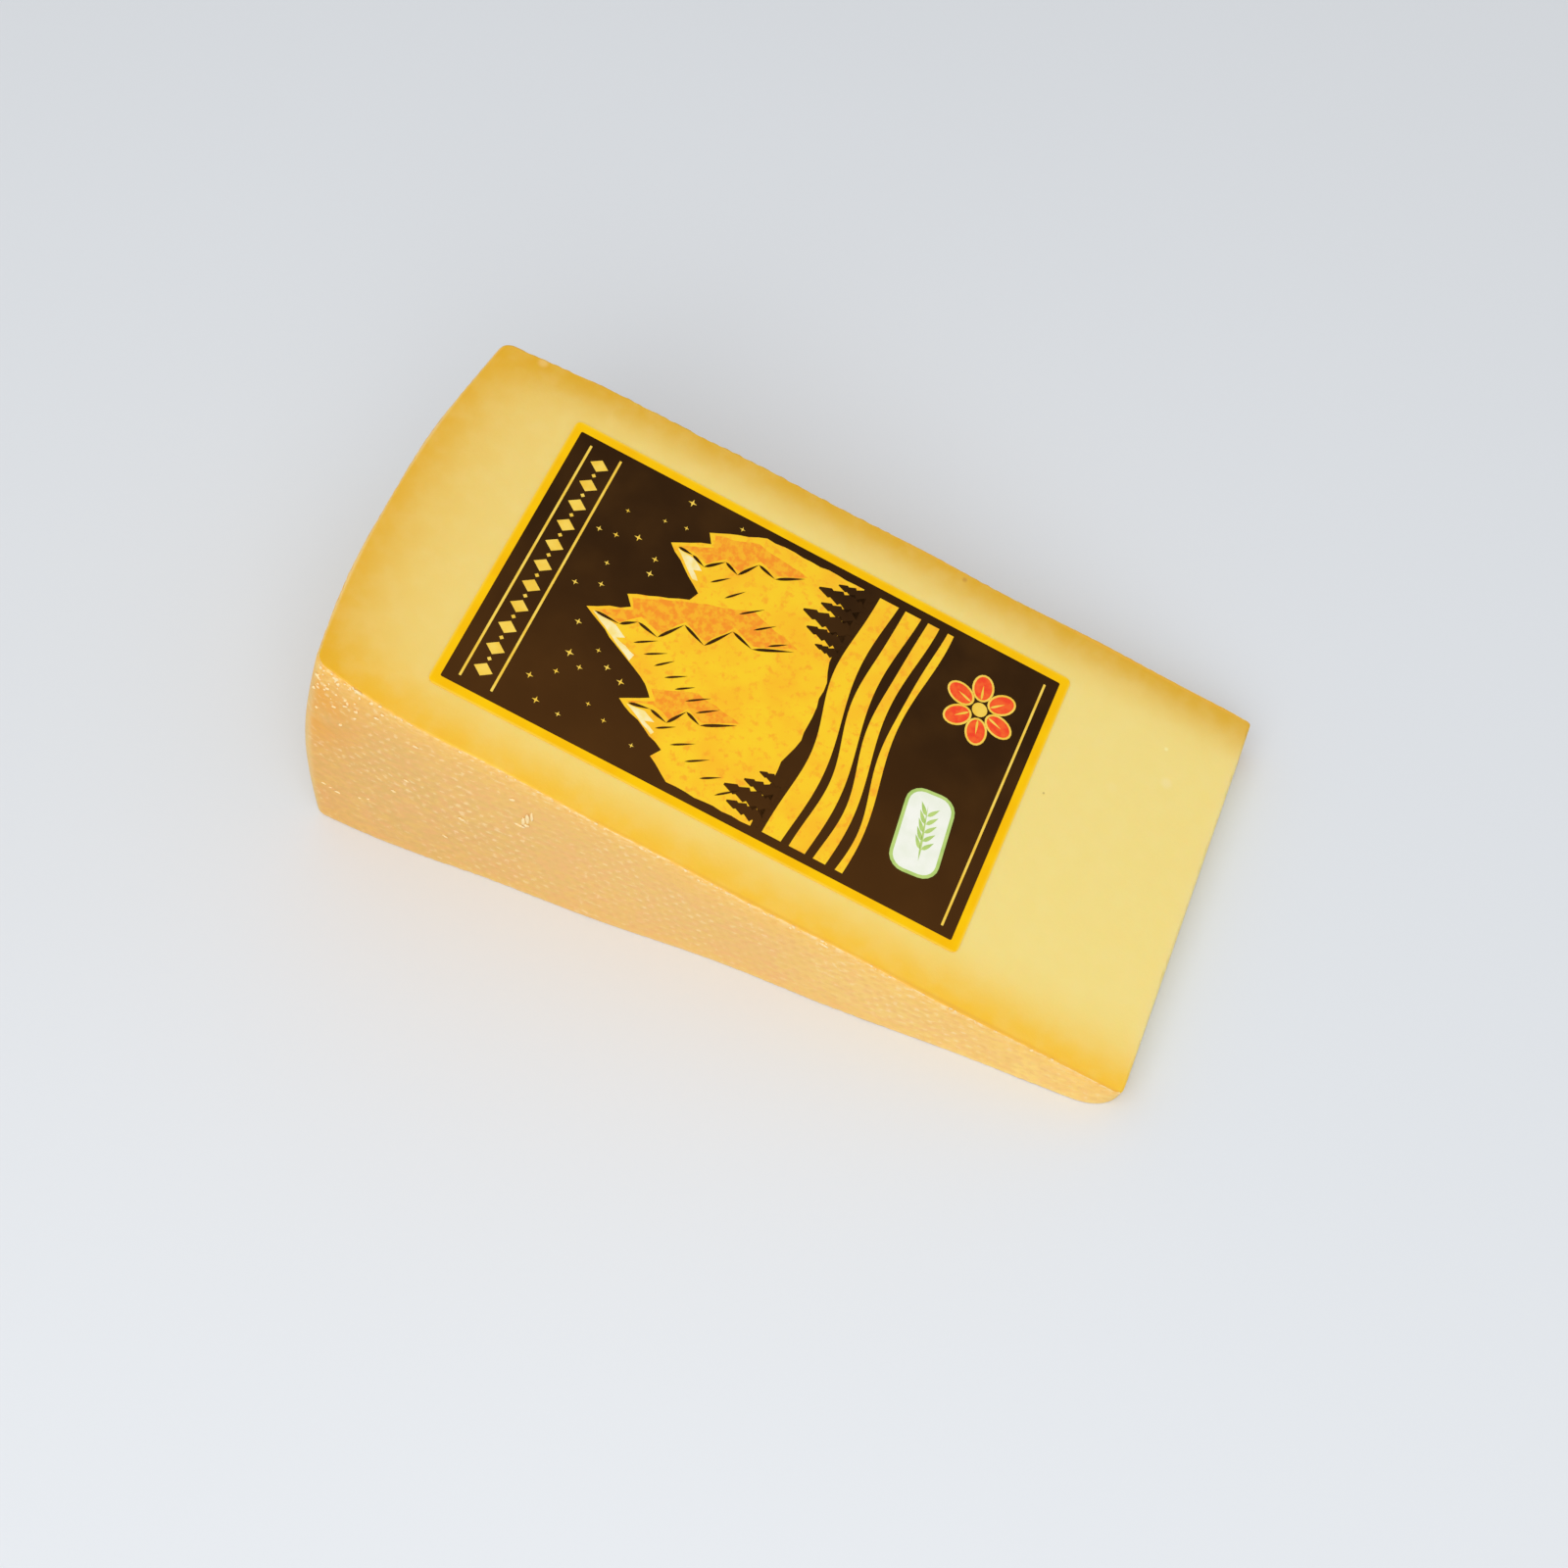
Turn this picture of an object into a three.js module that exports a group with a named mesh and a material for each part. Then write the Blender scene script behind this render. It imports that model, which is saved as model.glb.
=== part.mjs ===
// A chunk of mountain cheese: a wedge cut from a round wheel, lying on one of its two cut faces,
// with a printed label stuck on the other. The wheel's axis runs along Y, level with the underside
// and beyond the thin end, so the chunk is a sector of the wheel from the sweep angle 0 (underside)
// up to wedgeAngle (upper cut face). Millimetres, +Z up, +X from the rim towards the thin end, and
// the origin under the middle of the chunk.

import * as THREE from 'three';

// The wheel. Its two flat faces are the long upright sides of the chunk, its rim the tall end.
const wheelHeight = 100;
const rimRadius = 231;
const rimBulgeRadius = 270;
const rimCrown = 3;
const rimEdgeRadius = 2.5;

// The two flats. Towards the rim they draw in, as a pressed wheel's do: from a distance off the
// axis, by an amount at the underside and at the upper cut face, along a curve of the given power.
// At the thin end their corners are rounded below and crisp above.
const nearFlat = {
  side: -1,
  drawInFrom: 190,
  drawInBelow: 1.2,
  drawInAbove: 4.2,
  power: 2,
  tipRadiusBelow: 9,
  tipRadiusAbove: 1.5,
};
const farFlat = {
  side: 1,
  drawInFrom: 186,
  drawInBelow: 2.6,
  drawInAbove: 3.3,
  power: 1.3,
  tipRadiusBelow: 5,
  tipRadiusAbove: 1,
};

// The cuts. The thin end is cut off square, a little further out at the near side.
const wedgeAngle = THREE.MathUtils.degToRad(16.07);
const tipDistance = 34.4;
const tipLead = 0.9;

// The rind's unevenness, and how far from the thin end it starts.
const rindSwell = 0.3;
const rindFade = 10;

// The label: a thin printed sheet on the upper cut face.
const labelLength = 125.4;
const labelWidth = 75.7;
const labelThickness = 0.2;
const labelGap = 0.2;
const labelCornerRadius = 1.6;
const labelDistance = 141.6;
const labelOffset = -0.7;

// Steps of the mesh.
const sweepSteps = 16;
const flatSteps = 44;
const rimSteps = 22;
const cornerSteps = 3;

const cheesePaste = new THREE.MeshStandardMaterial({
  name: 'cheese',
  color: '#f1dc86',
  roughness: 0.5,
  metalness: 0,
});
const labelPrint = new THREE.MeshStandardMaterial({
  name: 'label',
  color: '#35221a',
  roughness: 0.35,
  metalness: 0,
});

// A size that changes evenly from the underside to the upper cut face.
function upwards(below, above, sweep) {
  return THREE.MathUtils.lerp(below, above, sweep / wedgeAngle);
}

// Half the wheel's height at a distance from the axis, on one of its flats.
function halfHeight(flat, distance, sweep) {
  const reach = Math.max(0, (distance - flat.drawInFrom) / (rimRadius - flat.drawInFrom));
  const drawIn = upwards(flat.drawInBelow, flat.drawInAbove, sweep);
  return wheelHeight / 2 - drawIn * reach ** flat.power;
}

// Distance of the rim from the axis, across the wheel.
function rimDistance(y) {
  return rimRadius - (y - rimCrown) ** 2 / (2 * rimBulgeRadius);
}

// Distance of the thin end's upright cut from the axis, across the wheel.
function tipCut(y, sweep) {
  return (tipDistance + (tipLead * y) / (wheelHeight / 2)) / Math.cos(sweep);
}

// The corner between a flat and the rim, or a flat and the thin end, as a rounded curve.
function roundCorner(before, corner, after) {
  return new THREE.QuadraticBezierCurve(before, corner, after).getPoints(cornerSteps);
}

// A point of a flat, as distance from the axis and place across the wheel.
function flatPoint(flat, distance, sweep) {
  return new THREE.Vector2(distance, flat.side * halfHeight(flat, distance, sweep));
}

// The flat between the rounded corners of the thin end and of the rim, with both corners.
function flatOutline(flat, sweep) {
  const tipRadius = upwards(flat.tipRadiusBelow, flat.tipRadiusAbove, sweep);
  const tipY = flat.side * (wheelHeight / 2);
  const tip = new THREE.Vector2(tipCut(tipY, sweep), tipY);
  const tipSide = flat.side * (wheelHeight / 2 - tipRadius);
  const tipStart = new THREE.Vector2(tipCut(tipSide, sweep), tipSide);
  const rimY = flat.side * halfHeight(flat, rimDistance(tipY), sweep);
  const rim = new THREE.Vector2(rimDistance(rimY), rimY);
  const rimSide = rimY - flat.side * rimEdgeRadius;
  const rimEnd = new THREE.Vector2(rimDistance(rimSide), rimSide);

  const points = [];
  const start = tip.x + tipRadius;
  const end = rim.x - rimEdgeRadius;
  points.push(...roundCorner(tipStart, tip, flatPoint(flat, start, sweep)));
  for (let step = 1; step < flatSteps; step += 1) {
    const distance = THREE.MathUtils.lerp(start, end, step / flatSteps);
    points.push(flatPoint(flat, distance, sweep));
  }
  points.push(...roundCorner(flatPoint(flat, end, sweep), rim, rimEnd));
  return points;
}

// The rim, strictly between two places across the wheel.
function rimOutline(fromY, toY) {
  const points = [];
  for (let step = 1; step < rimSteps; step += 1) {
    const y = THREE.MathUtils.lerp(fromY, toY, step / rimSteps);
    points.push(new THREE.Vector2(rimDistance(y), y));
  }
  return points;
}

// The closed outline of the wheel's section at one sweep angle: far flat, rim, near flat. The
// straight side that closes it is the thin end.
function sectionOutline(sweep) {
  const far = flatOutline(farFlat, sweep);
  const near = flatOutline(nearFlat, sweep).reverse();
  return [...far, ...rimOutline(far.at(-1).y, near[0].y), ...near];
}

// The rind's slow swells: how far it stands out at a place on the wheel, fading to the thin end.
function rindRelief(distance, y, sweep) {
  const height = distance * sweep;
  const along = Math.sin(distance / 9 + y / 16) * Math.sin(height / 7.5 + 1);
  const slow = Math.sin(distance / 21 - height / 19 + 5);
  const across = Math.sin(y / 6.5 + height / 12) / 2;
  const fade = THREE.MathUtils.smoothstep(distance, tipDistance + 2, tipDistance + rindFade);
  return rindSwell * fade * (along + slow + across);
}

// The outline with its rind part moved out along its own normal by the relief.
function unevenOutline(outline, sweep) {
  return outline.map((point, index) => {
    const before = outline.at(index - 1);
    const after = outline[(index + 1) % outline.length];
    const normal = new THREE.Vector2(before.y - after.y, after.x - before.x).normalize();
    return point.clone().addScaledVector(normal, rindRelief(point.x, point.y, sweep));
  });
}

// The solid: the outline swept about the axis, closed by the two flat cut faces.
function cheeseGeometry() {
  const positions = [];
  const rings = [];
  for (let step = 0; step <= sweepSteps; step += 1) {
    const sweep = (wedgeAngle * step) / sweepSteps;
    const ring = unevenOutline(sectionOutline(sweep), sweep);
    ring.forEach(({ x, y }) => positions.push(-x * Math.cos(sweep), y, x * Math.sin(sweep)));
    rings.push(ring);
  }

  const count = rings[0].length;
  const triangles = [];
  for (let step = 0; step < sweepSteps; step += 1) {
    for (let index = 0; index < count; index += 1) {
      const next = (index + 1) % count;
      const lower = step * count + index;
      const lowerNext = step * count + next;
      triangles.push(lower, lowerNext, lower + count);
      triangles.push(lowerNext, lowerNext + count, lower + count);
    }
  }
  const top = sweepSteps * count;
  for (const [a, b, c] of THREE.ShapeUtils.triangulateShape(rings[0], [])) {
    triangles.push(a, b, c);
  }
  for (const [a, b, c] of THREE.ShapeUtils.triangulateShape(rings.at(-1), [])) {
    triangles.push(top + c, top + b, top + a);
  }

  const geometry = new THREE.BufferGeometry();
  geometry.setAttribute('position', new THREE.Float32BufferAttribute(positions, 3));
  geometry.setIndex(triangles);
  geometry.computeVertexNormals();
  return geometry;
}

// The label's sheet, centred on its own origin and lying in the XY plane.
function labelGeometry() {
  const x = labelLength / 2;
  const y = labelWidth / 2;
  const r = labelCornerRadius;
  const outline = new THREE.Shape();
  outline.absarc(x - r, y - r, r, 0, Math.PI / 2);
  outline.absarc(-x + r, y - r, r, Math.PI / 2, Math.PI);
  outline.absarc(-x + r, -y + r, r, Math.PI, 1.5 * Math.PI);
  outline.absarc(x - r, -y + r, r, 1.5 * Math.PI, 2 * Math.PI);
  return new THREE.ExtrudeGeometry(outline, {
    depth: labelThickness,
    bevelEnabled: false,
    curveSegments: 4,
  });
}

const cheese = new THREE.Mesh(cheeseGeometry(), cheesePaste);
cheese.name = 'cheese';

const label = new THREE.Mesh(labelGeometry(), labelPrint);
label.name = 'label';
label.position.set(-labelDistance, labelOffset, labelGap);

// The upper cut face slopes down to the axis, so what lies on it turns with it.
const upperFace = new THREE.Group();
upperFace.rotation.y = wedgeAngle;
upperFace.add(label);

// Both were made about the wheel's axis: the chunk moves to stand over its own middle.
const chunk = new THREE.Group();
chunk.add(cheese, upperFace);
cheese.geometry.computeBoundingBox();
const middle = cheese.geometry.boundingBox.getCenter(new THREE.Vector3());
chunk.position.set(-middle.x, -middle.y, 0);

const part = new THREE.Group();
part.add(chunk);

export default part;
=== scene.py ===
import math
import random
from types import SimpleNamespace

import bmesh
import bpy
from mathutils import Matrix, Vector, noise


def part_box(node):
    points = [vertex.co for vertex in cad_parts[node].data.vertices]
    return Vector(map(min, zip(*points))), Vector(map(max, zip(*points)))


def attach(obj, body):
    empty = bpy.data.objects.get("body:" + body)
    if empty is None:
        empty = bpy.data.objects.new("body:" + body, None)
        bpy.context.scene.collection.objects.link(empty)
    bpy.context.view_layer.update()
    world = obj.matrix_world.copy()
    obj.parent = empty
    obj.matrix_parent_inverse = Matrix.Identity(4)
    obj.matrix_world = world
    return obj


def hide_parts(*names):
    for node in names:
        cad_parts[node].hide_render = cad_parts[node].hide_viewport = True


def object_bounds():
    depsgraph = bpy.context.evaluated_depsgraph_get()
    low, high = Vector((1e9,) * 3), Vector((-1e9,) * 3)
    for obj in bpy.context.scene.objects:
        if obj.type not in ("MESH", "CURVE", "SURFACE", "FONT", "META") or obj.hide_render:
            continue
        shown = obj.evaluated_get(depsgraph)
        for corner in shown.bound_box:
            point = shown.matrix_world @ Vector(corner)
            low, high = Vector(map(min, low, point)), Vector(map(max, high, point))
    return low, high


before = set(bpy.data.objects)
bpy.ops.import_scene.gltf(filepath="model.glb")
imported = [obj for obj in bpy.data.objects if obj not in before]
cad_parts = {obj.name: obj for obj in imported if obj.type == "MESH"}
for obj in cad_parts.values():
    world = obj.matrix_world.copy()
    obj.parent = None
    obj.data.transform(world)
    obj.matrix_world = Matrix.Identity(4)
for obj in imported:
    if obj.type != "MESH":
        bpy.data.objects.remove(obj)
cad_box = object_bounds()


# ---------------------------------------------------------------------------------------------
# The cheese. A wedge of pressed mountain cheese, one lump of firm paste in its own dry rind. The
# wheel was pressed in a lined mould, rubbed with brine and ripened, then cut twice towards its
# axis and once square across the thin end. It lies on a cut face: the wheel's axis runs along Y.
# ---------------------------------------------------------------------------------------------

mm = 0.001

# Where the wheel's axis and its middle plane are in the part.
wheel_x = 132.416 * mm
wheel_y = -0.067 * mm

half_width = 50 * mm
rim_radius = 231 * mm
rim_bulge_radius = 270 * mm
rim_crown = 3 * mm
rim_edge_radius = 2.5 * mm
near_flat = SimpleNamespace(
    side=-1,
    draw_in_from=190 * mm,
    draw_in_below=1.2 * mm,
    draw_in_above=4.2 * mm,
    power=2,
    tip_radius_below=9 * mm,
    tip_radius_above=1.5 * mm,
)
far_flat = SimpleNamespace(
    side=1,
    draw_in_from=186 * mm,
    draw_in_below=2.6 * mm,
    draw_in_above=3.3 * mm,
    power=1.3,
    tip_radius_below=5 * mm,
    tip_radius_above=1 * mm,
)
wedge_angle = math.radians(16.07)
tip_distance = 34.4 * mm
tip_lead = 0.9 * mm

# The rind's slow swells, and where along the wedge they start and come to full height.
swell_height = 0.3 * mm
swell_from = tip_distance + 2 * mm
swell_full = tip_distance + 10 * mm

# How deep the press marks are, and how far in from the cut edge its wear starts.
press_depth = 0.16 * mm
edge_wear = 0.45 * mm

# Steps of the mesh, and the slots of its two materials.
along_steps = 290
across_steps = 146
up_steps = 86
rind_slot = 0
paste_slot = 1


class Value:
    """A value that changes over a surface: a node's output. Arithmetic on it adds Math nodes."""

    def __init__(self, finish, socket):
        self.finish = finish
        self.socket = socket

    def output(self, name):
        return Value(self.finish, self.socket.node.outputs[name])

    def math(self, operation, *others):
        return self.finish.math(operation, self, *others)

    def __add__(self, other):
        return self.math("ADD", other)

    def __sub__(self, other):
        return self.math("SUBTRACT", other)

    def __rsub__(self, other):
        return self.finish.math("SUBTRACT", other, self)

    def __mul__(self, other):
        return self.math("MULTIPLY", other)

    def __truediv__(self, other):
        return self.math("DIVIDE", other)

    def __pow__(self, other):
        return self.math("POWER", other)

    def __neg__(self):
        return self.math("MULTIPLY", -1)

    __radd__ = __add__
    __rmul__ = __mul__

    def rise(self, low, high):
        """Goes smoothly from 0 where this value is low to 1 where it is high."""
        settings = {"interpolation_type": "SMOOTHSTEP"}
        return self.finish.node("ShaderNodeMapRange", settings, {0: self, 1: low, 2: high})


class Finish:
    """A procedural material: one Principled shader, and the nodes that feed it."""

    def __init__(self, name, constants):
        self.material = bpy.data.materials.new(name)
        self.material.use_nodes = True
        self.tree = self.material.node_tree
        self.shader = self.tree.nodes["Principled BSDF"]
        for socket, value in constants.items():
            self.shader.inputs[socket].default_value = value

    def node(self, kind, settings, sockets, output=0):
        """Adds a node, its settings first and then the values or links of its sockets."""
        node = self.tree.nodes.new(kind)
        for name, value in settings.items():
            setattr(node, name, value)
        for name, value in sockets.items():
            if isinstance(value, Value):
                self.tree.links.new(value.socket, node.inputs[name])
            else:
                node.inputs[name].default_value = value
        return Value(self, node.outputs[output])

    def math(self, operation, *values):
        return self.node("ShaderNodeMath", {"operation": operation}, dict(enumerate(values)))

    def mix(self, share, first, second):
        """A colour that goes from the first to the second as share goes from 0 to 1."""
        sockets = {0: share, 6: first, 7: second}
        return self.node("ShaderNodeMix", {"data_type": "RGBA"}, sockets, output=2)

    def place(self):
        """The point on the piece, as a vector."""
        return self.node("ShaderNodeTexCoord", {}, {}, output="Object")

    def axes(self, point):
        """The three coordinates of a point."""
        x = self.node("ShaderNodeSeparateXYZ", {}, {"Vector": point}, output="X")
        return x, x.output("Y"), x.output("Z")

    def stretch(self, point, sizes):
        """The point divided by a size along each axis, so that a pattern comes out that large."""
        scale = tuple(1 / size for size in sizes)
        sockets = {0: point, 1: scale}
        return self.node("ShaderNodeVectorMath", {"operation": "MULTIPLY"}, sockets)

    def grain(self, point, size, detail=2, roughness=0.5):
        """Noise around one half, with spots of about the given size."""
        sockets = {"Vector": point, "Scale": 1 / size, "Detail": detail, "Roughness": roughness}
        return self.node("ShaderNodeTexNoise", {}, sockets)

    def wear(self, **varying):
        """Feeds the shader's sockets; a height in metres goes in through a Bump node."""
        if "height" in varying:
            sockets = {"Height": varying.pop("height"), "Distance": 1}
            varying["normal"] = self.node("ShaderNodeBump", {}, sockets)
        for name, value in varying.items():
            socket = self.shader.inputs[name.replace("_", " ").title()]
            self.tree.links.new(value.socket, socket)


def larger(value, limit):
    if isinstance(value, Value):
        return value.math("MAXIMUM", limit)
    return max(value, limit)


def fading(depth, reach, power):
    """A share of 1 at the surface that fades with depth, slower at first for a larger power."""
    return (-(larger(depth, 0) / reach) ** power).math("EXPONENT")


def sine(value):
    if isinstance(value, Value):
        return value.math("SINE")
    return math.sin(value)


def smooth(share):
    share = min(max(share, 0), 1)
    return share * share * (3 - 2 * share)


def srgb(red, green, blue):
    """A colour as a screen shows it, from 0 to 255, as a shader wants it."""
    def linear(value):
        value /= 255
        return value / 12.92 if value <= 0.04045 else ((value + 0.055) / 1.055) ** 2.4
    return linear(red), linear(green), linear(blue), 1


# The wheel's shape, for numbers and for shader values alike. A place on it is given by its
# distance from the axis, its place y across the wheel, and the sweep angle up from the underside.

def half_height(flat, distance, sweep):
    """Half the wheel's height on one of its flats, which draw in towards the rim."""
    reach = larger((distance - flat.draw_in_from) / (rim_radius - flat.draw_in_from), 0)
    change = flat.draw_in_above - flat.draw_in_below
    return half_width - (flat.draw_in_below + change * (sweep / wedge_angle)) * reach ** flat.power


def rim_distance(y):
    """The rim's distance from the axis: it bulges across the wheel."""
    return rim_radius - (y - rim_crown) * (y - rim_crown) / (2 * rim_bulge_radius)


def tip_cut(y, sweep):
    """Distance of the thin end's upright cut from the axis."""
    return (tip_distance + tip_lead * y / half_width) / math.cos(sweep)


def press_marks(along, height):
    """Rows of small raised dots from the mould's lining: 1 on a dot, down to -0.5 between."""
    row_spacing = 2.46 * mm
    drift = 0.5 * mm * sine(along / (9 * mm) + height / (13 * mm))
    total = 0
    for turn in (15, 75, 135):
        row = along * math.cos(math.radians(turn)) + height * math.sin(math.radians(turn))
        total = total + sine((row + drift) * (2 * math.pi / row_spacing))
    return total / 3


def rind_swell(distance, y, sweep):
    """The rind's slow swells, which fade towards the thin end."""
    d, across, height = distance / mm, y / mm, distance * sweep / mm
    along = math.sin(d / 9 + across / 16) * math.sin(height / 7.5 + 1)
    slow = math.sin(d / 21 - height / 19 + 5)
    cross = math.sin(across / 6.5 + height / 12) / 2
    risen = smooth((distance - swell_from) / (swell_full - swell_from))
    return swell_height * risen * (along + slow + cross)


def wheel_point(distance, y, sweep):
    """A place on the wheel as a point of the part."""
    return Vector((
        wheel_x - distance * math.cos(sweep),
        wheel_y + y,
        distance * math.sin(sweep),
    ))


# The corner of the upper cut at the rim's near side, where handling has worn it down.
worn_corner = wheel_point(225.8 * mm, -46.8 * mm, wedge_angle)
corner_reach = 8 * mm


def rounded(from_end, from_flat, radius):
    """How far a point near a square corner moves, away from the end and from the flat."""
    if max(from_end, from_flat) >= radius:
        return 0, 0
    share = (1 + (from_end - from_flat) / radius) / 2
    return radius * share ** 2 - from_end, radius * (1 - share) ** 2 - from_flat


def section_place(along, across, up):
    """Turns shares of the block (0 to 1, -1 to 1, 0 to 1) into a place on the wheel."""
    sweep = wedge_angle * up
    flat = far_flat if across > 0 else near_flat
    rim_y = across * half_height(flat, rim_distance(across * half_width), sweep)
    rim = rim_distance(rim_y)
    tip = tip_cut(across * half_width, sweep)
    distance = tip + (rim - tip) * along
    height = half_height(flat, distance, sweep)
    off_flat = height * (1 - abs(across))
    tip_radius = flat.tip_radius_below + (flat.tip_radius_above - flat.tip_radius_below) * up
    out, down = rounded(distance - tip, off_flat, tip_radius)
    back, inward = rounded(rim - distance, off_flat, rim_edge_radius)
    return distance + out - back, flat.side * (height - off_flat - down - inward), sweep


def cheese_mesh():
    """A cube's sides, gridded, bent to the wheel's wedge and closed by the two flat cut faces."""
    block = bmesh.new()
    bmesh.ops.create_cube(block, size=1)
    ends = [face for face in block.faces if abs(face.normal.z) > 0.5]
    bmesh.ops.delete(block, geom=ends, context="FACES_ONLY")
    for face in block.faces:
        face.material_index = paste_slot if face.normal.x < -0.5 else rind_slot
    for axis, steps in enumerate((along_steps, across_steps, up_steps)):
        edges = [e for e in block.edges if abs((e.verts[0].co - e.verts[1].co)[axis]) > 0.5]
        bmesh.ops.subdivide_edges(block, edges=edges, cuts=steps - 1, use_grid_fill=True)

    places = {}
    for vertex in block.verts:
        x, y, z = vertex.co
        places[vertex] = section_place(x + 0.5, 2 * y, z + 0.5)
        vertex.co = wheel_point(*places[vertex])
    bmesh.ops.recalc_face_normals(block, faces=block.faces)
    block.normal_update()

    shifts = {vertex: rind_shift(vertex, places[vertex]) for vertex in block.verts}
    for vertex, shift in shifts.items():
        vertex.co += shift
    for face in block.faces:
        face.smooth = True

    rims = [edge for edge in block.edges if edge.is_boundary]
    cuts = bmesh.ops.edgeloop_fill(block, edges=rims, mat_nr=paste_slot)["faces"]
    cut_edges = {vertex for cut in cuts for vertex in cut.verts}
    ring = bmesh.ops.inset_individual(block, faces=cuts, thickness=edge_wear, use_even_offset=True)
    for face in ring["faces"]:
        face.smooth = True
    for vertex in cut_edges:
        wear_edge(vertex, places[vertex])
    bmesh.ops.recalc_face_normals(block, faces=block.faces)
    return block


def rind_shift(vertex, place):
    """The rind's swells and press marks, along its own normal across the wheel."""
    patch_size = 14 * mm
    marks_from = tip_distance + 3 * mm
    marks_rise = 8 * mm
    mark_range = 1.5
    distance, y, sweep = place
    swept = Vector((math.sin(sweep), 0, math.cos(sweep)))
    normal = (vertex.normal - swept * vertex.normal.dot(swept)).normalized()
    out = rind_swell(distance, y, sweep)
    # The marks end at the rounded corners, where the normal turns from the flats to the rim.
    on_flat = smooth((abs(normal.y) - 0.6) / 0.35)
    on_rim = smooth((abs(normal.y) - 0.4) / -0.3) if distance > 2 * tip_distance else 0
    point = vertex.co
    marks = press_marks(point.x, point.z) * on_flat + press_marks(point.y, point.z) * on_rim
    patch = 0.65 + 0.6 * noise.noise(point / patch_size)
    fade = smooth((distance - marks_from) / marks_rise)
    out -= press_depth * fade * (on_flat + on_rim - marks) / mark_range * patch
    return normal * out


def wear_edge(vertex, place):
    """Rounds a cut edge a little, with crumbled notches along it."""
    short_notch = 1.7 * mm
    long_notch = 6 * mm
    even_wear = 0.12 * mm
    notch_wear = 0.2 * mm
    corner_wear = 0.5 * mm
    cut_middle = 140 * mm
    into_rind = 0.8
    _, _, sweep = place
    point = vertex.co
    notch = 0.5 + noise.noise(point / short_notch) + 0.7 * noise.noise(point / long_notch)
    corner = smooth(1 - (point - worn_corner).length / corner_reach)
    worn = even_wear + notch_wear * max(notch, 0) + corner_wear * corner
    inward = (wheel_point(cut_middle, 0, sweep) - point).normalized()
    swept = Vector((math.sin(sweep), 0, math.cos(sweep)))
    off_cut = swept if sweep < wedge_angle / 2 else -swept
    vertex.co += inward * worn + off_cut * worn * into_rind


def make_piece(name, mesh, finishes):
    """Makes the finished mesh an object at the origin that rides with the part."""
    data = bpy.data.meshes.new(name)
    mesh.to_mesh(data)
    mesh.free()
    for finish in finishes:
        data.materials.append(finish.material)
    piece = bpy.data.objects.new(name, data)
    bpy.context.scene.collection.objects.link(piece)
    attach(piece, "root")
    return piece


# The cut paste: pale yellow in the middle, golden where it has dried behind the rind, and the
# rind itself seen edge-on as a thin line, gold on the flats and pale at the rim.
middle_paste = srgb(247, 223, 134)
near_gold = srgb(251, 197, 46)
# The far gold is darker than the near gold, partly its own colour and partly painted shade.
far_gold = srgb(226, 174, 32)
rim_gold = srgb(231, 175, 22)
dry_tip = srgb(240, 220, 154)
rim_line = srgb(240, 206, 138)
flat_line = srgb(238, 180, 56)


def spot(finish, point, middle, radius, soft):
    """A share of 1 near a place, which fades to 0 over the soft edge inside the radius."""
    sockets = {0: point, 1: middle}
    away = finish.node("ShaderNodeVectorMath", {"operation": "DISTANCE"}, sockets, output="Value")
    return 1 - away.rise(radius - soft, radius)


paste = Finish("cut_paste", {
    "Roughness": 0.42,
    "Subsurface Weight": 0.25,
    "Subsurface Radius": (1, 0.55, 0.18),
    "Subsurface Scale": 2.5 * mm,
    "Specular IOR Level": 0.35,
})
point = paste.place()
x, y, z = paste.axes(point)
across = y - wheel_y
distance = ((wheel_x - x) * (wheel_x - x) + z * z) ** 0.5
sweep = z.math("ARCTAN2", wheel_x - x)
below_near = half_height(near_flat, distance, sweep) + across
below_far = half_height(far_flat, distance, sweep) - across
below_rim = rim_distance(across) - distance
below_tip = wheel_x - x - tip_distance - across * (tip_lead / half_width)
uneven = paste.grain(point, 12 * mm, detail=3) * 0.2 + 0.9
near_share = fading(below_near / uneven, 9.7 * mm, 2)
far_share = fading(below_far / uneven, 8.4 * mm, 2)
rim_share = fading(below_rim / uneven, 36 * mm, 2) * 0.36
rim_share = rim_share + fading(below_rim / uneven, 9 * mm, 1.5) * 0.55
colour = paste.mix(fading(below_tip, 0.9 * mm, 1) * 0.6, middle_paste, dry_tip)
colour = paste.mix(far_share, colour, far_gold)
colour = paste.mix(near_share, colour, near_gold)
colour = paste.mix(rim_share, colour, rim_gold)
mottle = paste.grain(point, 5 * mm, detail=4)
colour = paste.mix(mottle.rise(0.35, 0.75) * 0.12, colour, srgb(250, 232, 160))
off_flats = below_near.math("MINIMUM", below_far)
colour = paste.mix(fading(off_flats / uneven, 0.7 * mm, 3) * 0.8, colour, flat_line)
colour = paste.mix(fading(below_rim / uneven, 0.6 * mm, 3) * 0.9, colour, rim_line)

# Small marks on the upper cut, in millimetres: distance from the axis, place across the wheel and
# radius, and then the colour and how strong it is.
marks_on_cut = (
    (52.9, 32.7, 0.7, srgb(255, 240, 168), 0.8),
    (50.1, 24.6, 1.9, srgb(250, 230, 168), 0.45),
    (61.2, 17.0, 1.8, srgb(250, 230, 166), 0.15),
    (74.9, 7.2, 0.4, srgb(196, 172, 96), 0.9),
    (110.5, 48.0, 0.9, srgb(196, 140, 50), 0.6),
    (217.5, 46.6, 1.7, srgb(250, 214, 140), 0.45),
)
for from_axis, place_across, radius, tint, strength in marks_on_cut:
    middle = wheel_point(from_axis * mm, place_across * mm, wedge_angle)
    share = spot(paste, point, middle, radius * mm, radius * 0.8 * mm)
    colour = paste.mix(share * strength, colour, tint)

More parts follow.
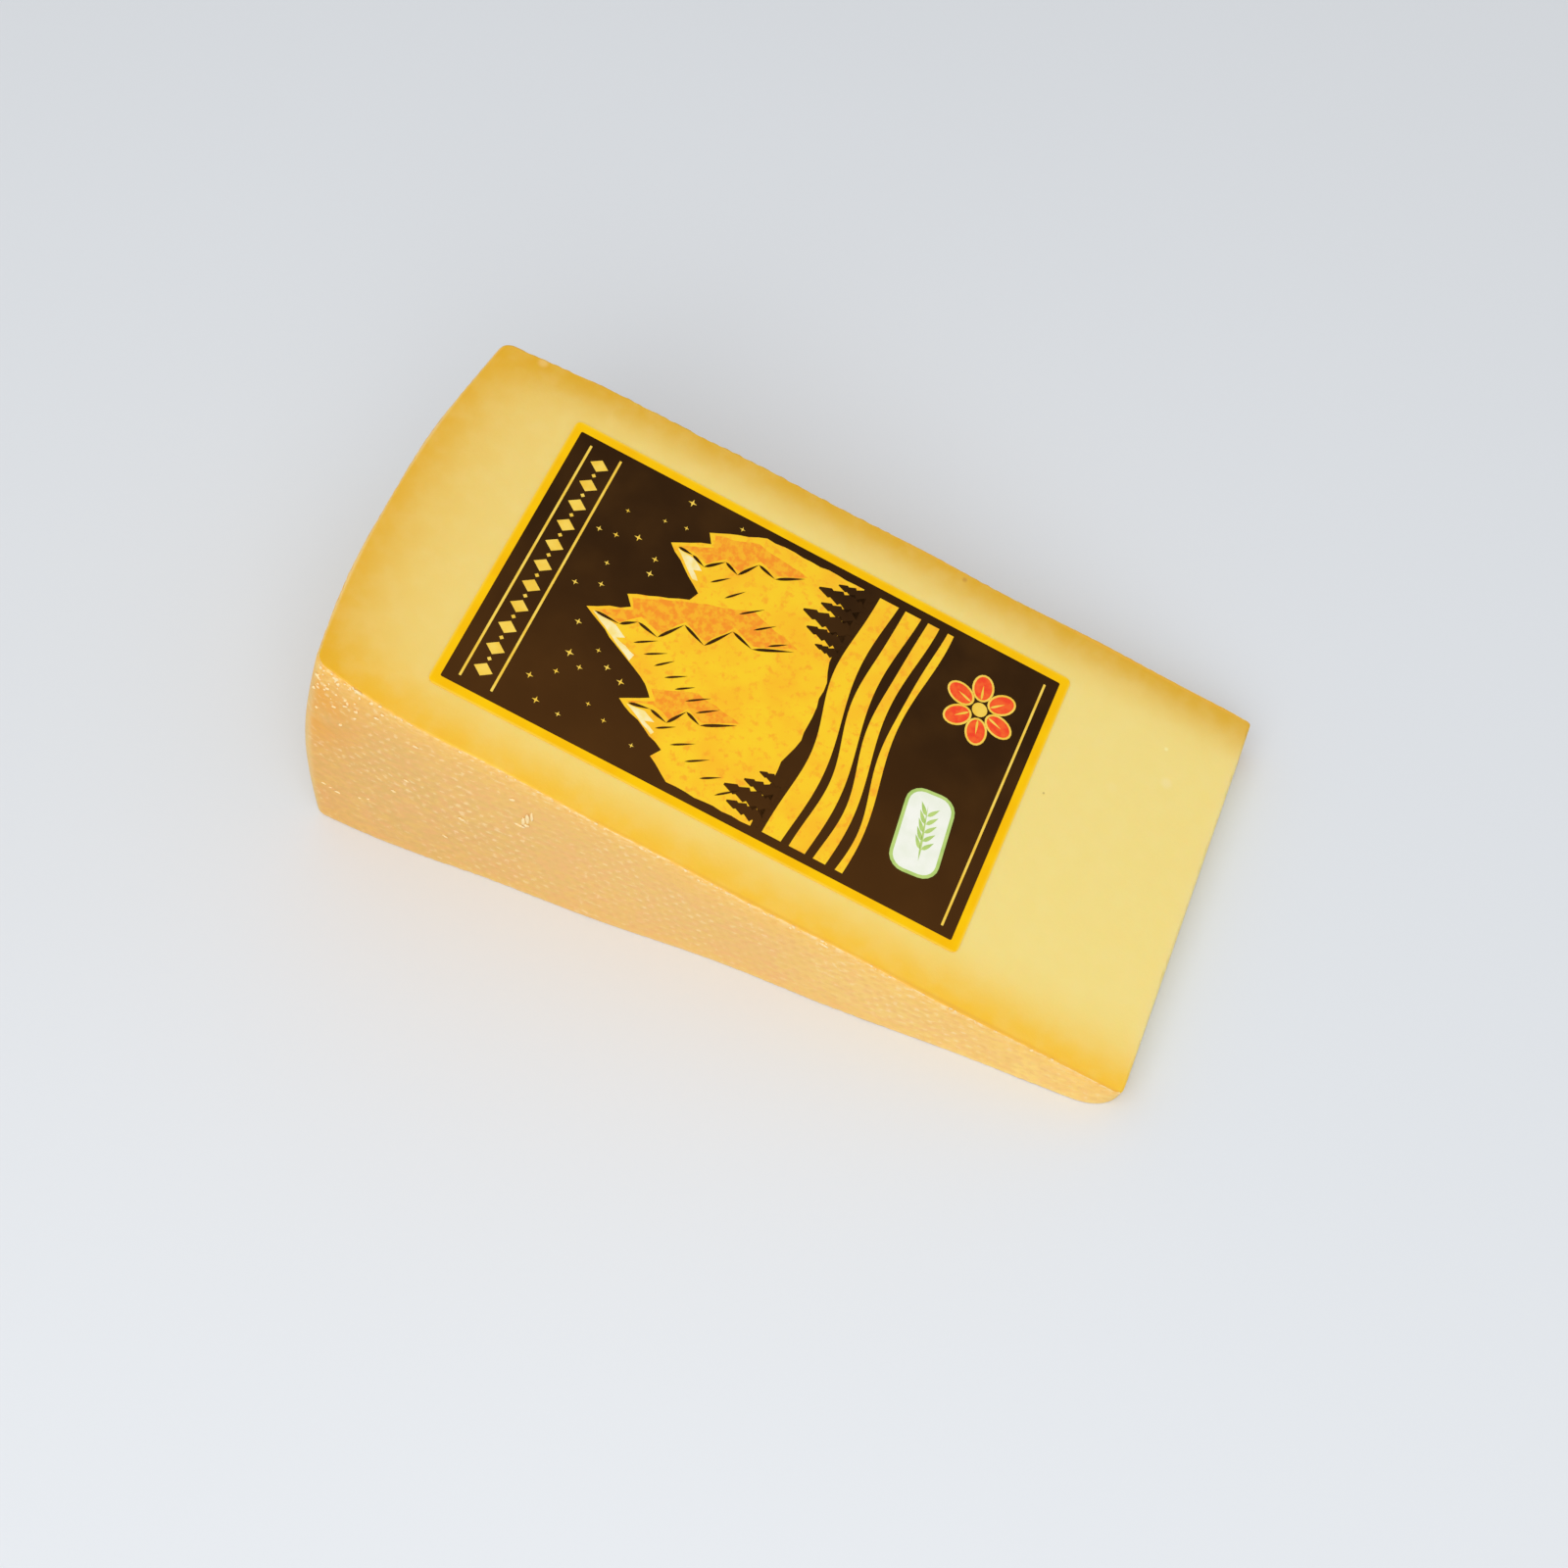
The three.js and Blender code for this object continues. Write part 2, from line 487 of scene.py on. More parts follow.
# The knife's fine drag lines along the cut, pores, and soft dents.
drag = paste.grain(paste.stretch(point, (1.1 * mm, 22 * mm, 1.1 * mm)), 1, detail=2)
pores = paste.grain(point, 0.7 * mm, detail=3)
paste.wear(
    base_color=colour,
    height=drag * (0.02 * mm) + pores * (0.02 * mm) + mottle * (0.05 * mm),
)

# The rind: sandy and dry, tan at the rim and paler towards the thin end, streaked with pink and
# straw. The press marks show as pale rubbed dots, the rim's corner is stained a deeper orange, and
# an orange band with pale specks runs under the upper cut.
rind_tan = srgb(226, 181, 107)
rind_sand = srgb(239, 195, 117)
rind_pale = srgb(253, 217, 127)
rind_pink = srgb(243, 182, 122)
rind_straw = srgb(240, 197, 108)
rind_orange = srgb(254, 200, 94)
rind_stain = srgb(237, 166, 66)
rind_dust_and_highlight = srgb(254, 228, 176)
rind_pit = srgb(214, 158, 92)
rind_crust = srgb(250, 208, 118)
rind_corner = srgb(244, 221, 158)

rind = Finish("rind", {
    "Roughness": 0.72,
    "Subsurface Weight": 0.12,
    "Subsurface Radius": (1, 0.55, 0.2),
    "Subsurface Scale": 1.5 * mm,
    "Specular IOR Level": 0.25,
})
point = rind.place()
x, y, z = rind.axes(point)
across = y - wheel_y
distance = ((wheel_x - x) * (wheel_x - x) + z * z) ** 0.5
sweep = z.math("ARCTAN2", wheel_x - x)
below_cut = distance * (wedge_angle - sweep)
below_rim = rim_distance(across) - distance
on_rim = 1 - below_rim.rise(0.8 * mm, 1.6 * mm)
along = x + (y - x) * on_rim
marks = press_marks(along, z)
patch = rind.grain(point, 11 * mm, detail=2)
streaks = rind.grain(rind.stretch(point, (2.6 * mm, 2.6 * mm, 1.7 * mm)), 1)
shifted = rind.stretch(point, (3.7 * mm, 3.7 * mm, 1.9 * mm))
straws = rind.grain(shifted, 1, detail=3, roughness=0.6)
flecks = rind.grain(rind.stretch(point, (1.5 * mm, 1.5 * mm, 0.9 * mm)), 1, detail=3, roughness=0.6)
blush = rind.grain(point, 9 * mm, detail=3)
colour = rind.mix(x.rise(-98 * mm, 10 * mm), rind_tan, rind_sand)
colour = rind.mix(x.rise(-10 * mm, 98 * mm), colour, rind_pale)
colour = rind.mix(blush.rise(0.4, 0.7) * 0.25, colour, rind_pink)
colour = rind.mix(streaks.rise(0.42, 0.62) * 0.4, colour, rind_pink)
colour = rind.mix(straws.rise(0.45, 0.65) * 0.45, colour, rind_straw)
stain = fading(below_rim, 11 * mm, 1.5) * fading(across + half_width, 34 * mm, 2)
stain = stain * z.rise(20 * mm, 48 * mm) * blush.rise(0.25, 0.6)
colour = rind.mix(fading(below_rim, 12 * mm, 2) * 0.22, colour, rind_stain)
colour = rind.mix(stain * 0.95, colour, rind_stain)
colour = rind.mix(fading(below_rim, 1.7 * mm, 3) * 0.5, colour, rind_corner)
colour = rind.mix(fading(below_cut, 6 * mm, 1) * 0.75, colour, rind_orange)
raised = marks * 0.18 + flecks
colour = rind.mix((1 - raised.rise(0.26, 0.5)) * 0.15, colour, rind_pit)
dots = raised.rise(0.55, 0.76) * patch.rise(0.32, 0.62)
colour = rind.mix(dots * 0.5, colour, rind_dust_and_highlight)
crust = spot(rind, point, worn_corner, corner_reach, 6 * mm)
colour = rind.mix(crust * flecks.rise(0.3, 0.6) * 0.7, colour, rind_crust)
edge_specks = fading(below_cut, 1.6 * mm, 1) * flecks.rise(0.4, 0.65)
colour = rind.mix(edge_specks * 0.6, colour, rind_dust_and_highlight)
# At the foot: an orange tint, and a pale line that is a painted highlight on the bottom edge.
foot = larger(z, 0)
colour = rind.mix(fading(foot, 2 * mm, 1) * 0.3, colour, rind_orange)
colour = rind.mix(fading(foot, 0.5 * mm, 1) * 0.6, colour, rind_dust_and_highlight)
dust = rind.grain(point, 0.5 * mm, detail=2)
rind.wear(
    base_color=colour,
    height=flecks * (0.16 * mm) + dust * (0.05 * mm) + streaks * (0.06 * mm),
)

cheese = make_piece("cheese_wedge", cheese_mesh(), [rind, paste])
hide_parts("cheese")


# ---------------------------------------------------------------------------------------------
# Crumbs. Specks of paste and dry rind that the knife dragged out along the cut edge and left on
# the near side, thickest at the rim, and a few pale flakes of rind that have lifted.
# ---------------------------------------------------------------------------------------------

crumb_sizes = (0.16 * mm, 0.4 * mm)
edge_crumbs = 60
lump_sizes = (0.25 * mm, 0.52 * mm)
corner_lumps = 38


def near_point(distance, sweep):
    """A point on the near flat's rind."""
    y = near_flat.side * half_height(near_flat, distance, sweep)
    return wheel_point(distance, y + near_flat.side * rind_swell(distance, y, sweep), sweep)


def add_crumb(crumbs, point, turn, sizes):
    """An uneven lump, sunk to its middle into what it clings to."""
    unevenness = 0.45
    bump_size = 0.3 * mm
    place = Matrix.Translation(point) @ turn @ Matrix.Diagonal((*sizes, 1))
    lump = bmesh.ops.create_icosphere(crumbs, subdivisions=2, radius=1, matrix=place)["verts"]
    for vertex in lump:
        offset = vertex.co - point
        vertex.co = point + offset * (1 + unevenness * noise.noise(vertex.co / bump_size))


def add_loose_crumb(crumbs, point, draw, smallest, largest):
    """A crumb of some size between the two, flattened against the near side."""
    turn = Matrix.Rotation(draw.uniform(0, math.tau), 4, "Y")
    size = draw.uniform(smallest, largest)
    sizes = (size * draw.uniform(0.8, 1.3), size * 0.5, size * draw.uniform(0.6, 1))
    add_crumb(crumbs, point, turn, sizes)


# Crumbs along the whole upper edge, and then lumps that lie thickest near the rim's corner.
draw = random.Random(7)
crumbs = bmesh.new()
for _ in range(edge_crumbs):
    distance = draw.uniform(tip_distance + 12 * mm, rim_radius - 4 * mm)
    below = abs(draw.gauss(0, 0.5)) * mm
    place = near_point(distance, wedge_angle - below / distance)
    add_loose_crumb(crumbs, place, draw, *crumb_sizes)
for _ in range(corner_lumps):
    distance = rim_radius - (6 + abs(draw.gauss(0, 7))) * mm
    below = (0.8 + abs(draw.gauss(0, 6))) * mm
    place = near_point(distance, wedge_angle - below / distance)
    add_loose_crumb(crumbs, place, draw, *lump_sizes)

# Single flakes and specks, in millimetres: x, height, length, width, and how far the length is
# turned up from level, in degrees.
flakes = (
    (-35.9, 36.3, 3.6, 0.8, 88), (-37.0, 34.8, 4.8, 1.0, 83), (-38.0, 33.4, 3.8, 0.9, 82),
    (-39.1, 31.0, 2.6, 0.9, -6), (-37.4, 31.9, 1.8, 1.0, 30), (-53.3, 24.9, 2.1, 0.9, -31),
    (-40.1, 40.6, 1.5, 0.9, 10), (-79.5, 16.1, 0.9, 0.5, 0), (-77.2, 17.2, 0.8, 0.4, 20),
    (-85.4, 14.4, 1.5, 0.6, -10), (-88.9, 15.6, 1.2, 0.5, -20), (-87.2, 15.1, 0.8, 0.4, 15),
    (-78.4, 52.0, 1.6, 0.7, 25), (-70.6, 53.0, 1.4, 0.9, 0), (-62.0, 48.0, 1.4, 0.8, -15),
    (-65.9, 32.2, 1.3, 0.7, -30), (-69.9, 25.3, 1.5, 0.6, -25), (-58.6, 13.8, 1.6, 0.6, -15),
    (-74.4, 59.2, 2.2, 1.1, -35), (9.3, 35.2, 1.2, 0.7, -25), (17.7, 32.4, 1.5, 0.6, -30),
    (30.9, 27.6, 2.4, 0.7, -17), (-10.4, 40.4, 1.2, 0.6, -16),
)
flake_thickness = 0.3
for x, height, length, width, turned_up in flakes:
    distance = math.hypot(wheel_x - x * mm, height * mm)
    point = near_point(distance, math.asin(height * mm / distance))
    lifted = Matrix.Rotation(math.radians(draw.uniform(-5, 5)), 4, "Z")
    turn = Matrix.Rotation(math.radians(-turned_up), 4, "Y") @ lifted
    sizes = (length / 2 * mm, flake_thickness / 2 * mm, width / 2 * mm)
    add_crumb(crumbs, point, turn, sizes)

# No crumb stands out past the part's own box.
low_y = cad_box[0][1]
for vertex in crumbs.verts:
    vertex.co.y = max(vertex.co.y, low_y)
for face in crumbs.faces:
    face.smooth = True

crumb_dust = Finish("crumb_dust", {
    "Roughness": 0.8,
    "Specular IOR Level": 0.25,
})
point = crumb_dust.place()
speckle = crumb_dust.grain(point, 0.4 * mm)
crumb_dust.wear(
    base_color=crumb_dust.mix(speckle.rise(0.3, 0.7), srgb(255, 235, 184), srgb(253, 216, 148)),
)
edge_dust = make_piece("edge_crumbs", crumbs, [crumb_dust])


# ---------------------------------------------------------------------------------------------
# The label. A sheet of thin coated paper, yellow all over, stuck flat on the upper cut face. The
# dark field and every motif are inks printed one over the other, each a layer of its own.
# ---------------------------------------------------------------------------------------------

label_width = 75.7 * mm
label_length = 125.4 * mm
label_corner = 1.6 * mm
paper_under = -0.26 * mm
paper_top = -0.04 * mm
ink_thickness = 0.02 * mm

# On the label, x runs across it and y up it, towards the rim; z is out of the cut face. Its
# origin is the middle of the label's place in the frame.
label_low, label_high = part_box("label")
label_middle = (label_low + label_high) / 2
lie_down = Matrix.Rotation(wedge_angle, 4, "Y") @ Matrix.Rotation(math.pi / 2, 4, "Z")
on_label = Matrix.Translation(label_middle) @ lie_down


def add_rectangle(shapes, middle, width, height, radius, turn=0):
    """A rectangle with rounded corners."""
    place = Matrix.Translation((*middle, 0)) @ Matrix.Rotation(math.radians(turn), 4, "Z")
    place = place @ Matrix.Diagonal((width, height, 1, 1))
    made = bmesh.ops.create_grid(shapes, x_segments=1, y_segments=1, size=0.5, matrix=place)
    bmesh.ops.bevel(
        shapes, geom=made["verts"], offset=radius, offset_type="OFFSET", segments=5,
        profile=0.5, affect="VERTICES", material=-1,
    )


def thicken(shapes, under, top):
    """Makes flat shapes closed solids between two heights over the label's middle, in place."""
    bmesh.ops.translate(shapes, verts=shapes.verts, vec=(0, 0, under))
    raised = bmesh.ops.extrude_face_region(shapes, geom=shapes.faces[:], use_keep_orig=True)
    lid = [item for item in raised["geom"] if isinstance(item, bmesh.types.BMVert)]
    bmesh.ops.translate(shapes, verts=lid, vec=(0, 0, top - under))
    bmesh.ops.recalc_face_normals(shapes, faces=shapes.faces)
    bmesh.ops.transform(shapes, matrix=on_label, verts=shapes.verts)


def printed(name, shapes, layer, ink):
    """One ink of the print: flat shapes on the label, some layers above the paper."""
    under = paper_top + layer * ink_thickness
    thicken(shapes, under, under + ink_thickness)
    piece = make_piece(name, shapes, [ink])


def label_place(finish):
    """The point on the label in the label's own directions."""
    sockets = {
        "Vector": finish.place(),
        "Location": label_middle,
        "Rotation": lie_down.to_euler(),
    }
    return finish.node("ShaderNodeMapping", {"vector_type": "TEXTURE"}, sockets)


def blotched_ink(name, size, detail, low, high, first, second):
    """A printing ink in two tints, which go over in blotches of about the given size."""
    ink = Finish(name, {"Roughness": 0.38, "Specular IOR Level": 0.4})
    blotch = ink.grain(label_place(ink), size, detail)
    ink.wear(base_color=ink.mix(blotch.rise(low, high), first, second))
    return ink


yellow_paper = Finish("yellow_paper", {"Roughness": 0.45, "Specular IOR Level": 0.08})
point = label_place(yellow_paper)
across, up, _ = yellow_paper.axes(point)
blotch = yellow_paper.grain(point, 9 * mm, detail=3)
colour = yellow_paper.mix(blotch.rise(0.3, 0.7), srgb(255, 202, 2), srgb(251, 190, 1))
off_side = label_width / 2 - across.math("ABSOLUTE")
off_end = label_length / 2 - up.math("ABSOLUTE")
thin_edge = fading(off_side.math("MINIMUM", off_end), 0.35 * mm, 2)
yellow_paper.wear(
    base_color=yellow_paper.mix(thin_edge * 0.6, colour, srgb(253, 216, 84)),
)
paper = bmesh.new()
add_rectangle(paper, (0, 0), label_width, label_length, label_corner)
thicken(paper, paper_under, paper_top)
paper = make_piece("label_paper", paper, [yellow_paper])
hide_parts("label")

# The dark field leaves a yellow border, a little narrower at the rim.
field_width = 71.05 * mm
field_length = 121.2 * mm
field_middle = (0.02 * mm, 0.1 * mm)
dark_ink = Finish("dark_ink", {"Specular IOR Level": 0.05})
point = label_place(dark_ink)
across, _, _ = dark_ink.axes(point)
haze = dark_ink.grain(point, 16 * mm, detail=3)
colour = dark_ink.mix(haze.rise(0.35, 0.75), srgb(50, 29, 7), srgb(64, 39, 11))
colour = dark_ink.mix(across.rise(20 * mm, -38 * mm) * 0.5, colour, srgb(88, 53, 16))
dark_ink.wear(
    base_color=colour,
    roughness=haze * 0.2 + 0.3,
)
field = bmesh.new()
add_rectangle(field, field_middle, field_width, field_length, 0.4 * mm)
printed("label_dark_field", field, 0, dark_ink)


# ---------------------------------------------------------------------------------------------
# The print. A plain alpine picture in the label's own colours: gold peaks over meadows, a row of
# diamonds, small stars, an alpine rose and a bare white tag, each ink laid over the one before.
# ---------------------------------------------------------------------------------------------

picture_width = 66.6


def add_outline(shapes, points):
    """A flat shape round its points, in millimetres on the label."""
    shapes.faces.new([shapes.verts.new((x * mm, y * mm, 0)) for x, y in points])


def ragged(corners, draw, step=2.2, amount=0.22):
    """The outline through these corners, uneven between them as if cut by hand."""
    points = []
    for start, end in zip(corners, corners[1:] + corners[:1]):
        start, end = Vector(start), Vector(end)
        count = max(1, round((end - start).length / step))
        points.append(start)
        for part in range(1, count):
            nudge = Vector((draw.uniform(-amount, amount), draw.uniform(-amount, amount)))
            points.append(start.lerp(end, part / count) + nudge)
    return points


def add_ellipse(shapes, middle, width, height, turn=0, segments=20):
    """A flat ellipse, or a diamond where it has four segments."""
    place = Matrix.Translation((middle[0] * mm, middle[1] * mm, 0))
    place = place @ Matrix.Rotation(math.radians(turn), 4, "Z")
    place = place @ Matrix.Diagonal((width / 2 * mm, height / 2 * mm, 1, 1))
    bmesh.ops.create_circle(shapes, cap_ends=True, segments=segments, radius=1, matrix=place)


def add_star(shapes, middle, size):
    """A small star with four points."""
    points = []
    for corner in range(8):
        reach = size / 2 if corner % 2 == 0 else size / 7
        turn = corner * math.pi / 4
        points.append((middle[0] + reach * math.sin(turn), middle[1] + reach * math.cos(turn)))
    add_outline(shapes, points)


def add_stroke(shapes, start, end, width, steps=6):
    """A brush stroke: a straight line, fullest at a third of its length."""
    start, end = Vector(start), Vector(end)
    side = (end - start).orthogonal().normalized() * (width / 2)
    shares = [step / steps for step in range(1, steps)]
    swell = [math.sin(math.pi * share ** 0.65) for share in shares]
    upper = [start.lerp(end, share) + side * full for share, full in zip(shares, swell)]
    lower = [start.lerp(end, share) - side * full for share, full in zip(shares, swell)]
    add_outline(shapes, [start, *upper, end, *reversed(lower)])


def add_band(shapes, lower, upper, steps=56):
    """A wavy band right across the picture, between two heights that depend on the place."""
    made = bmesh.ops.create_grid(shapes, x_segments=steps, y_segments=1, size=0.5)
    for vertex in made["verts"]:
        x = vertex.co.x * picture_width
        y = upper(x) if vertex.co.y > 0 else lower(x)
        vertex.co = (x * mm, y * mm, 0)


def add_fir(shapes, foot, height, tiers=4):
    """A fir tree in outline: tiers of boughs on a short trunk."""
    x, y = foot
    right = [(0.045 * height, 0), (0.045 * height, 0.12 * height)]
    for tier in range(tiers):
        low = 0.12 + 0.88 * tier / tiers
        reach = 0.27 * (1 - 0.78 * tier / tiers)
        right.append((reach * height, low * height))
        right.append((reach * 0.5 * height, (low + 0.7 / tiers) * height))
    right[-1] = (0.02 * height, height)
    left = [(-across, up) for across, up in reversed(right)]
    add_outline(shapes, [(x + across, y + up) for across, up in right + left])


draw = random.Random(21)

# The peaks in outline: the ridge first, from its second corner, and then the foot.
peaks = [
    (-33.3, -11.5), (-33.3, 8.5), (-29.5, 14), (-27, 12.5), (-20.5, 25.5), (-17, 19.8),
    (-14.5, 22), (-4, 41), (1, 32.5), (3.5, 34.5), (9.5, 22), (12, 21), (20.5, 31.5),
    (25, 23.5), (27.5, 25), (33.3, 13), (33.3, -11.5), (12, -11.5), (7, -13), (-9, -13.4),
    (-16, -11.5),
]
ridge_corners = 16
gold_ink = Finish("gold_ink", {"Roughness": 0.38, "Specular IOR Level": 0.4})
point = label_place(gold_ink)
scribble = gold_ink.grain(point, 2.2 * mm, detail=4, roughness=0.65)
cloud = gold_ink.grain(point, 10 * mm, detail=2)
colour = gold_ink.mix(cloud.rise(0.35, 0.7), srgb(255, 208, 16), srgb(255, 192, 14))
colour = gold_ink.mix(scribble.rise(0.5, 0.68) * 0.75, colour, srgb(252, 166, 16))
gold_ink.wear(base_color=colour)
gold = bmesh.new()
add_outline(gold, ragged(peaks, draw))

# Meadow bands below them, in millimetres: height of the lower edge, and thickness.
meadows = ((-19.5, 4.6), (-24.8, 3.6), (-29.2, 2.6), (-32.8, 1.6))
for number, (low, thick) in enumerate(meadows):
    def lower(x, low=low, number=number):
        return low + 1.4 * math.sin(x / 9 + number * 0.35)
    def upper(x, low=low, thick=thick, number=number):
        return lower(x, low, number) + thick + 0.35 * math.sin(x / 5 + number)
    add_band(gold, lower, upper)
printed("label_gold_peaks", gold, 1, gold_ink)

orange_ink = Finish("orange_ink", {"Roughness": 0.38, "Specular IOR Level": 0.4})
point = label_place(orange_ink)
scribble = orange_ink.grain(point, 1.8 * mm, detail=4, roughness=0.65)
orange_ink.wear(
    base_color=orange_ink.mix(scribble.rise(0.4, 0.6), srgb(250, 148, 14), srgb(253, 182, 18)),
)
shaded_slopes = [
    [(-3.6, 39.3), (0.6, 31.7), (3.3, 33.2), (9, 21.5), (14.5, 8), (11, -4), (6.5, 5), (8.5, 10.5),
     (1.8, 14.5), (4, 20.5), (-1.8, 24), (0, 29.5), (-3.8, 33)],
    [(-20.3, 23.8), (-17.1, 18.4), (-14.8, 20.4), (-10.5, 11), (-12.5, 0), (-16.5, 7.5),
     (-15, 11.5), (-19.5, 14), (-18.2, 18.5)],
    [(20.6, 29.9), (24.8, 22.2), (27.4, 23.6), (31, 14), (29, 1), (25.5, 7.5), (27, 12),
     (22, 15), (23.5, 19), (19.8, 22.5), (21, 26)],
]
slopes = bmesh.new()
for slope in shaded_slopes:
    add_outline(slopes, ragged(slope, draw, amount=0.3))
printed("label_orange_slopes", slopes, 2, orange_ink)

# Pale inks: one for the friezes, the stars and the rose, and a paler one for the snow.
pale_tints = (srgb(252, 214, 84), srgb(246, 200, 58))
pale_ink = blotched_ink("pale_ink", 4 * mm, 2, 0.35, 0.65, *pale_tints)
snow_tints = (srgb(255, 242, 186), srgb(254, 228, 132))
snow_ink = blotched_ink("snow_ink", 3 * mm, 2, 0.35, 0.65, *snow_tints)
snow_fields = [
    [(-4.2, 39.4), (-4.8, 33.5), (-6.6, 30.5), (-7.6, 32.2), (-9.4, 27), (-11.2, 27.4)],
    [(-20.8, 23.6), (-20.4, 19.5), (-21.8, 16.5), (-22.6, 18.6), (-24, 15.6), (-24.8, 16)],
    [(20, 29.6), (19.4, 25), (17.6, 22.6), (16.8, 24.4), (14.8, 22.4), (14.6, 23.6)],
]
snow = bmesh.new()
for field_of_snow in snow_fields:
    add_outline(snow, ragged(field_of_snow, draw, step=1.5, amount=0.12))
printed("label_pale_snow", snow, 2, snow_ink)

frieze_heights = (57.2, 49.8, -57.4)
frieze_thickness = 0.55 * mm
pale = bmesh.new()
for height in frieze_heights:
    add_rectangle(pale, (0, height * mm), picture_width * mm, frieze_thickness, 0.1 * mm)

# A row of diamonds between the upper two friezes, with small ones between them.
diamond_spacing = 5.9
diamond_height = 53.5
for place in range(-5, 6):
    add_ellipse(pale, (place * diamond_spacing, diamond_height), 3.4, 4.4, segments=4)
    if place < 5:
        between = ((place + 0.5) * diamond_spacing, diamond_height)
        add_ellipse(pale, between, 1.1, 1.1, segments=4)

# Stars, clear of one another and of the peaks' ridge.
ridge = [Vector(corner) for corner in peaks[1:ridge_corners]]
star_count = 26
star_spacing = 3.6
sky_gap = 3.2
stars = []
while len(stars) < star_count:
    star = Vector((draw.uniform(-32.5, 32.5), draw.uniform(12, 47)))
    before = max((corner for corner in ridge if corner.x <= star.x), key=lambda c: c.x)
    after = min((corner for corner in ridge if corner.x > star.x), key=lambda c: c.x)
    share = (star.x - before.x) / (after.x - before.x)
    clear = star.y > before.lerp(after, share).y + sky_gap
    if clear and all((star - other).length > star_spacing for other in stars):
        stars.append(star)
        add_star(pale, star, draw.uniform(1.1, 2.4))
printed("label_pale_friezes", pale, 1, pale_ink)

# Dark ink over the gold: ridges, hatching and fir trees.
lines = bmesh.new()
crests = [
    [(-4.1, 39), (-4.2, 33), (-1.6, 29.6), (-2.8, 24.4), (3.2, 20.4), (0.8, 14.6), (7.4, 10.4),
     (5.6, 5), (10, -3.5)],
    [(-20.5, 23.4), (-19.4, 18.6), (-20.6, 14.2), (-15.9, 11.4), (-17.4, 7.6), (-13.2, 0.4)],
    [(20.4, 29.6), (20.2, 26), (18.8, 22.6), (22.6, 18.8), (21, 15.2), (26, 12), (24.6, 7.4),
     (28.4, 1.4)],
]
for crest in crests:
    for start, end in zip(crest, crest[1:]):
        add_stroke(lines, start, end, 0.75)

# Hatching down the lit slopes: where each row of strokes starts, and how many it has.
hatching = (((-6, 30), 7), ((-22, 18), 5), ((17, 22), 5))
for top, count in hatching:
    for number in range(count):
        share = (number + 0.5) / count
        start = Vector(top) + Vector((-9.8, -22)) * share
        end = start + Vector((draw.uniform(2.6, 4.2), -draw.uniform(3.4, 5)))
        add_stroke(lines, start, end, 0.5)
firs = (
    (-30.5, -14.1, 9.5), (-27.2, -14.6, 12), (-23.9, -15, 9), (-20.6, -15.3, 7),
    (14.4, -13.4, 6.5), (17.6, -13.5, 10), (21.2, -13.7, 12.5), (24.8, -14.1, 10),
    (28.2, -14.2, 12), (31.2, -14.4, 8.5),
)
for x, y, height in firs:
    add_fir(lines, (x, y), height)
printed("label_brown_lines", lines, 3, dark_ink)

# The alpine rose: six red petals with pale edges, round a yellow heart.
rose_middle = Vector((19.2, -46.2))
rose_reach = 5.6
rose_turn = 12
red_tints = (srgb(247, 62, 14), srgb(252, 96, 22))
red_ink = blotched_ink("red_ink", 1.6 * mm, 3, 0.35, 0.65, *red_tints)
petal_edges = bmesh.new()
petals = bmesh.new()
hearts = bmesh.new()
for petal in range(6):
    turn = 60 * petal + rose_turn
    toward = Vector((math.cos(math.radians(turn)), math.sin(math.radians(turn))))
    add_ellipse(petal_edges, rose_middle + toward * rose_reach, 7, 5.2, turn)
    add_ellipse(petals, rose_middle + toward * rose_reach, 6, 4.2, turn)
    add_stroke(hearts, rose_middle + toward * 2.6, rose_middle + toward * 6.4, 0.55)
add_ellipse(hearts, rose_middle, 3.6, 3.6)
printed("label_rose_edges", petal_edges, 1, pale_ink)
printed("label_rose_petals", petals, 2, red_ink)
printed("label_rose_heart", hearts, 3, pale_ink)

# The bare white tag with a pale green edge and a sprig of meadow grass.
tag_middle = (-15.5, -45.6)
tag_width = 21
tag_height = 11.5
tag_turn = 6
tag_rim = 0.8
green_tints = (srgb(190, 216, 120), srgb(172, 204, 104))
green_ink = blotched_ink("green_ink", 3 * mm, 2, 0.3, 0.7, *green_tints)
white_tints = (srgb(250, 250, 240), srgb(240, 244, 226))
white_ink = blotched_ink("white_ink", 5 * mm, 2, 0.3, 0.7, *white_tints)
tag_edge = bmesh.new()
tag_face = bmesh.new()
middle = (tag_middle[0] * mm, tag_middle[1] * mm)
add_rectangle(tag_edge, middle, tag_width * mm, tag_height * mm, 4 * mm, tag_turn)
face_width = (tag_width - 2 * tag_rim) * mm
face_height = (tag_height - 2 * tag_rim) * mm
add_rectangle(tag_face, middle, face_width, face_height, 3.2 * mm, tag_turn)
sprig = bmesh.new()
stalk = Vector((13.4, 2.8))
stalk_foot = Vector(tag_middle) - Vector((6.6, 1.6))
add_stroke(sprig, stalk_foot, stalk_foot + stalk, 0.5)
for leaf in range(5):
    joint = stalk_foot + stalk * (0.2 + 0.15 * leaf)
    for side in (-1, 1):
        start = joint + Vector((0.1, 0.2 * side))
        add_stroke(sprig, start, joint + Vector((2.9, 2.2 * side)), 0.95)
printed("label_tag_edge", tag_edge, 1, green_ink)
